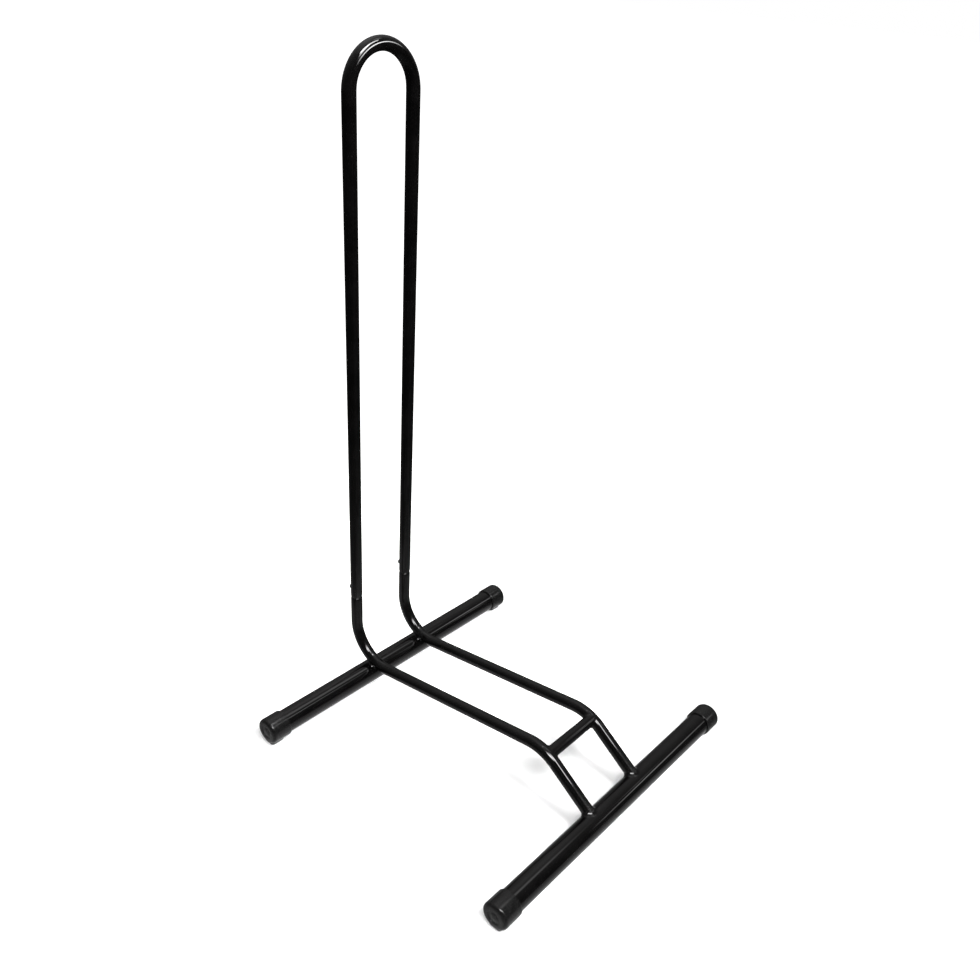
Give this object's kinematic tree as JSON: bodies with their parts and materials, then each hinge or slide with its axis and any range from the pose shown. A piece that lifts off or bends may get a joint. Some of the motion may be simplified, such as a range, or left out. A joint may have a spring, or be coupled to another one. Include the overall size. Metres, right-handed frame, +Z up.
{
  "type": "bike display stand",
  "caption": "Free-standing bike display stand: low bent-tube base on capped foot tubes, with a tall lift-off hoop that holds a wheel upright.",
  "frame": {"origin": "middle of the bounding box's base, on the floor between the feet", "axes": "+Z up; -Y towards the front foot, where the bicycle rolls in; +Y towards the tall hoop; +X to the right as seen from the front"},
  "size_m": [0.46, 0.4614, 0.8236],
  "materials": {
    "black_paint": "gloss black powder coat",
    "black_plastic": "satin black",
    "black_button": "black",
    "spring_steel": "bright"
  },
  "bodies": {
    "base": {"left_rail": "black_paint", "right_rail": "black_paint", "front_cross_tube": "black_paint", "rear_foot_tube": "black_paint", "front_foot_tube": "black_paint", "rear_left_cap": "black_plastic", "rear_right_cap": "black_plastic", "front_left_cap": "black_plastic", "front_right_cap": "black_plastic", "left_rear_weld": "black_paint", "right_rear_weld": "black_paint", "left_front_weld": "black_paint", "right_front_weld": "black_paint", "left_cross_weld": "black_paint", "right_cross_weld": "black_paint", "left_spring": "spring_steel", "right_spring": "spring_steel"},
    "hoop": {"hoop": "black_paint"},
    "left_button": {"left_button": "black_button"},
    "right_button": {"right_button": "black_button"}
  },
  "joints": [
    {"name": "hoop_lift", "type": "slide", "parent": "base", "child": "hoop", "axis": [0, 0, 1], "range_m": [0, 0.12]},
    {"name": "left_button_press", "type": "slide", "parent": "base", "child": "left_button", "axis": [0, -1, 0], "range_m": [0, 0.0059], "stiffness_N_per_m": 1200, "springref_m": -0.002, "deforming": ["left_spring"]},
    {"name": "right_button_press", "type": "slide", "parent": "base", "child": "right_button", "axis": [0, -1, 0], "range_m": [0, 0.0059], "stiffness_N_per_m": 1200, "springref_m": -0.002, "deforming": ["right_spring"]}
  ]
}
